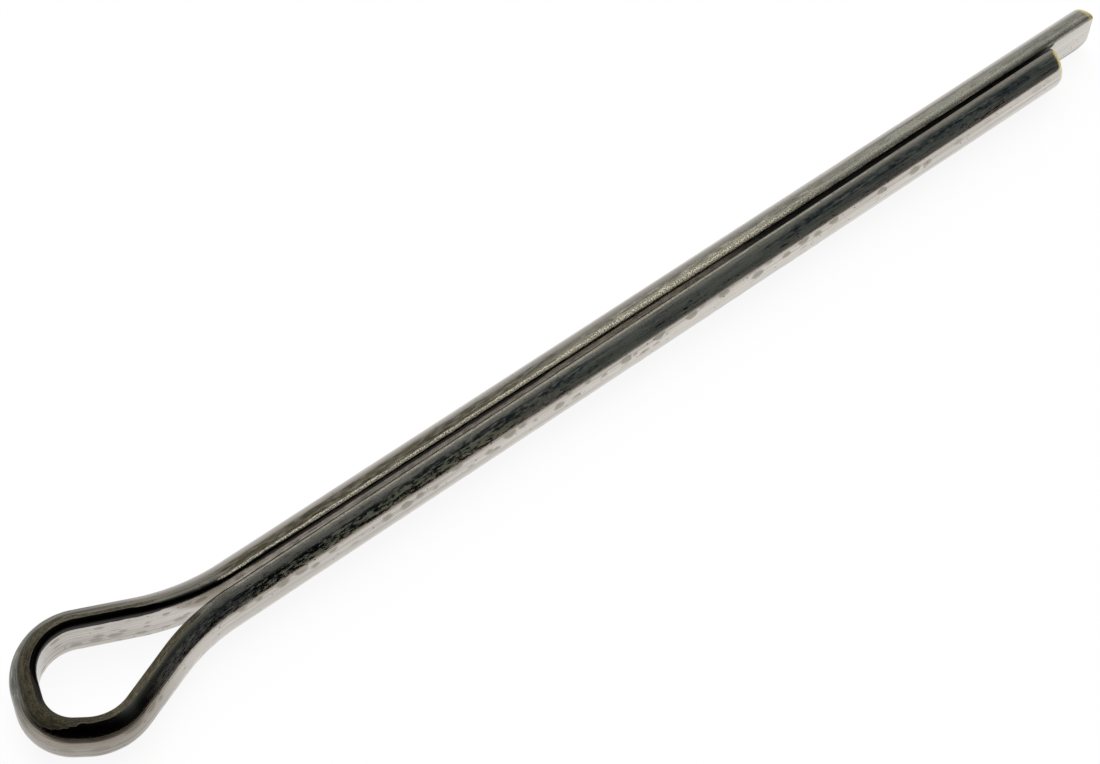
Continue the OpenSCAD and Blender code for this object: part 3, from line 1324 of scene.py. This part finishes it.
    def _press_relief(self, bm: BMesh) -> None:
        """Presses slow waves and small dents inwards, so that the skin keeps its box.

        Args:
            bm: The skin's mesh.
        """
        bm.normal_update()
        seed = random.Random(self.dent_seed)
        whole, perimeter = self._along, self.section.perimeter
        ranges = ((0, whole), (0, perimeter), self.dent_length, self.dent_width, self.dent_depth)
        cells: dict[int, list] = {}
        for _ in range(self.dents):
            dent = [seed.uniform(*ends) for ends in ranges]
            for cell in range(int(dent[0]) - 1, int(dent[0]) + 3):
                cells.setdefault(cell, []).append(dent)
        depths = []
        for _, along, around in self._places(bm):
            depth = self.skin + 0.5 * self.wave
            for waves_along, waves_around, layer, share in self.waves:
                place = Vector((along * waves_along, around * waves_around, layer))
                depth += self.wave * share * noise.noise(place)
            for at, turn, length, width, deep in cells.get(int(along), ()):
                far = ((along - at) / length) ** 2 + ((around - turn) / width) ** 2
                depth += deep * math.exp(-self.dent_edge * far)
            depths.append(depth)
        for vert, depth in zip(bm.verts, depths):
            vert.co -= vert.normal * depth

    def _lay_map(self, bm: BMesh) -> None:
        """Writes the wire's own map in metres: along the wire, and around its section.

        Args:
            bm: The skin's mesh.
        """
        along_layer, around_layer = (bm.verts.layers.float[name] for name in PLACES)
        flat_map = bm.loops.layers.uv.new(WIRE_MAP)
        perimeter = self.section.perimeter
        for face in bm.faces:
            places = [loop.vert[around_layer] for loop in face.loops]
            wraps = len(places) <= 4 and max(places) - min(places) > perimeter / 2
            for loop, around in zip(face.loops, places):
                if wraps and around < perimeter / 2:
                    around += perimeter
                loop[flat_map].uv = (loop.vert[along_layer] * MM, around * MM)


@dataclass
class Studio:
    """The floor, the soft light and the surroundings that the steel mirrors.

    Attributes:
        floor_radius: Radius of the floor.
        floor_colour: Colour of the floor.
        mirrored_floor_glow: Tones in which the floor glows for mirrored rays only, at places across
            the pin: a painted reflection.
        floor_reach: The places, in metres along Y, where those tones start and end.
        lit_share: How much of the floor's tone comes from the lamps that light it.
        key_power: Strength of the soft light from above.
        key_angle: Angle that the soft light fills, in degrees.
        key_turn: How far it is turned about X and about Y, in degrees.
        lit_from: Direction in which the surroundings are lightest.
        world_tones: Tones of the surroundings, from the far side to that direction.
        dark_share: How far the black screens hide what is behind them.
        far_wall: Colour low down on the far side.
        near_line: Colour at the foot of the near side.
    """

    floor_radius: float = 3.0
    floor_colour: tuple = (0.9, 0.9, 0.9)
    mirrored_floor_glow: tuple = (
        (0.00, (0.10, 0.05, 0.035)),
        (0.08, (0.22, 0.14, 0.11)),
        (0.22, (0.80, 0.79, 0.77)),
        (0.57, (0.88, 0.88, 0.87)),
        (0.64, (1.0, 1.0, 1.0)),
        (0.69, (0.98, 0.98, 0.98)),
        (0.72, (0.80, 0.80, 0.79)),
        (0.78, (0.58, 0.58, 0.57)),
        (1.00, (0.50, 0.50, 0.49)),
    )
    floor_reach: tuple = (-0.08, 0.04)
    lit_share: float = 0.08
    key_power: float = 3.9
    key_angle: float = 70.0
    key_turn: tuple = (-25.0, 20.0)
    lit_from: tuple = (0.663, 0.557, 0.5)
    world_tones: tuple = (
        (0.36, (0.002, 0.002, 0.003)),
        (0.50, (0.009, 0.012, 0.013)),
        (0.60, (0.028, 0.038, 0.040)),
        (0.70, (0.070, 0.078, 0.072)),
        (0.78, (0.140, 0.145, 0.128)),
        (0.86, (0.165, 0.170, 0.150)),
        (0.91, (0.215, 0.220, 0.195)),
        (0.95, (0.310, 0.315, 0.285)),
        (1.00, (0.350, 0.355, 0.320)),
    )
    dark_share: float = 0.9
    far_wall: tuple = (0.48, 0.475, 0.455)
    near_line: tuple = (0.16, 0.072, 0.052)

    def build(self, height: float) -> None:
        """Builds the floor, the lamp and the world.

        Args:
            height: Height of the floor's top.
        """
        self._lay_floor(height)
        self._hang_key()
        self._surround()

    def _lay_floor(self, height: float) -> None:
        """Lays a round floor that shows white and glows in a painted reflection for mirrored rays.

        Args:
            height: How high it lies.
        """
        bm = bmesh.new()
        bmesh.ops.create_circle(bm, cap_ends=True, segments=64, radius=self.floor_radius)
        bmesh.ops.translate(bm, vec=(0, 0, height), verts=bm.verts)
        floor = add_mesh("floor", bm, self._floor_material())
        floor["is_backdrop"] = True

    def _floor_material(self) -> Material:
        """Makes a matt white that shows as white and keeps a soft shadow. For mirrored rays it
        glows in bands of tone: a painted reflection.

        Returns:
            The floor's material.
        """
        made = bpy.data.materials.new("floor_white")
        made.use_nodes = True
        bench = NodeBench(made.node_tree)
        ray = bench.node("ShaderNodeLightPath").outputs
        direct = bench.total(ray["Is Camera Ray"], ray["Is Glossy Ray"])
        seen = bench.math("ADD", direct, ray["Is Transmission Ray"], clamp=True)
        matt = bench.node("ShaderNodeBsdfDiffuse", {"Color": (*self.floor_colour, OPAQUE)})
        where = bench.node("ShaderNodeTexCoord").outputs["Object"]
        across = bench.node("ShaderNodeSeparateXYZ", {"Vector": where}).outputs["Y"]
        start, end = self.floor_reach
        spot = bench.node(
            "ShaderNodeMapRange", {"Value": across, "From Min": start, "From Max": end}
        )
        # Painted reflection: for mirrored rays the floor glows in bands of tone across Y, from dark
        # brown far out on the near side to white beneath the pin and grey beyond it
        mirrored = bench.ramp(spot.outputs["Result"], self.mirrored_floor_glow)
        tone = bench.blend(ray["Is Glossy Ray"], WHITE, mirrored)
        glow = bench.node("ShaderNodeEmission", {"Color": tone, "Strength": 1.0})
        share = bench.product(seen, 1 - self.lit_share)
        both = bench.node(
            "ShaderNodeMixShader", {0: share, 1: matt.outputs[0], 2: glow.outputs[0]}
        )
        bench.node("ShaderNodeOutputMaterial", {"Surface": both.outputs[0]})
        return made

    def _hang_key(self) -> None:
        """Hangs one broad, soft light overhead."""
        lamp = bpy.data.lights.new("key", "SUN")
        lamp.energy = self.key_power
        lamp.angle = math.radians(self.key_angle)
        key = add_object("key", lamp)
        key.rotation_euler = (*map(math.radians, self.key_turn), 0)
        key.visible_glossy = False

    def _surround(self) -> None:
        """Surrounds the pin with a dim studio: a soft lit side and a dark side."""
        world = bpy.data.worlds.new("studio")
        bpy.context.scene.world = world
        world.use_nodes = True
        bench = NodeBench(world.node_tree)
        way = bench.node("ShaderNodeTexCoord").outputs["Generated"]
        lit_from = Vector(self.lit_from).normalized()
        facing = bench.node(
            "ShaderNodeVectorMath", {0: way, 1: lit_from}, operation="DOT_PRODUCT"
        ).outputs["Value"]
        tone = bench.ramp(bench.math("MULTIPLY_ADD", facing, 0.5, 0.5), self.world_tones)
        axes = bench.node("ShaderNodeSeparateXYZ", {"Vector": way}).outputs
        behind = bench.fall(axes["X"], 0.12, 0.35)
        panel = bench.product(bench.rise(axes["Z"], 0.15, 0.42), bench.rise(axes["Y"], -0.15, 0.15))
        ahead = bench.product(bench.rise(axes["X"], 0.44, 0.62), bench.rest(panel))
        far = bench.product(bench.fall(axes["Z"], 0.13, 0.20), bench.rise(axes["Y"], 0.45, 0.8))
        nearness = bench.rise(bench.product(axes["Y"], -1.0), 0.0, 0.3)
        near = bench.product(bench.fall(axes["Z"], 0.0, 0.13), nearness)
        screens = (
            (bench.product(behind, self.dark_share), BLACK),
            (bench.product(ahead, self.dark_share), BLACK),
            (far, self.far_wall),
            (near, self.near_line),
        )
        tone = bench.layers(tone, screens)
        sky = bench.node("ShaderNodeBackground", {"Color": tone, "Strength": 1.0})
        bench.node("ShaderNodeOutputWorld", {"Surface": sky.outputs[0]})


@dataclass(frozen=True)
class ViewPoint:
    """The camera: where it stands and how it looks.

    Attributes:
        stand: Its place in millimetres, from the shank's axis.
        heading: Compass heading of its aim from +X towards +Y, in degrees.
        down: How far it looks down, in degrees.
        roll: How far it is rolled, in degrees.
        lens: Focal length in millimetres.
        sensor: Width of the sensor in millimetres.
        clip: Nearest and farthest distance that it sees, in metres.
    """

    stand: tuple = (-70.055, -97.683, 230.232)
    heading: float = 45.8923
    down: float = 59.3815
    roll: float = -6.6826
    lens: float = 138.23
    sensor: float = 36.0
    clip: tuple = (0.01, 20.0)

    def build(self) -> Object:
        """Sets the camera up and makes it the scene's own.

        Returns:
            The camera object.
        """
        data = bpy.data.cameras.new("camera")
        data.lens = self.lens
        data.sensor_width = self.sensor
        data.clip_start, data.clip_end = self.clip
        camera = add_object("camera", data)
        turn = math.radians(self.heading)
        tilt = math.radians(self.down)
        roll = math.radians(self.roll)
        level = Vector((math.cos(turn), math.sin(turn), 0.0))
        ahead = level * math.cos(tilt) - Vector((0, 0, math.sin(tilt)))
        right = level.cross(Vector((0, 0, 1)))
        below = ahead.cross(right)
        across = right * math.cos(roll) + below * math.sin(roll)
        upward = right * math.sin(roll) - below * math.cos(roll)
        matrix = Matrix((across, upward, -ahead)).transposed().to_4x4()
        matrix.translation = Vector(self.stand) * MM
        camera.matrix_world = matrix
        bpy.context.scene.camera = camera
        return camera


def main() -> None:
    """Builds the pin, the studio and the camera."""
    logging.basicConfig(level=logging.INFO, format="%(name)s: %(message)s")
    scene = bpy.context.scene
    scene.view_settings.view_transform = "Standard"
    cad_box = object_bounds()

    ViewPoint().build()
    pin = SteelPin().build(DrawnSteel())
    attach(pin, BODY)
    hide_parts(CAD_NODE)
    LOG.info("%s: %d faces", pin.name, len(pin.data.polygons))

    Studio().build(height=cad_box[0][2])
    LOG.info("studio: floor at %.3f mm", cad_box[0][2] / MM)


if __name__ == "__main__":
    main()
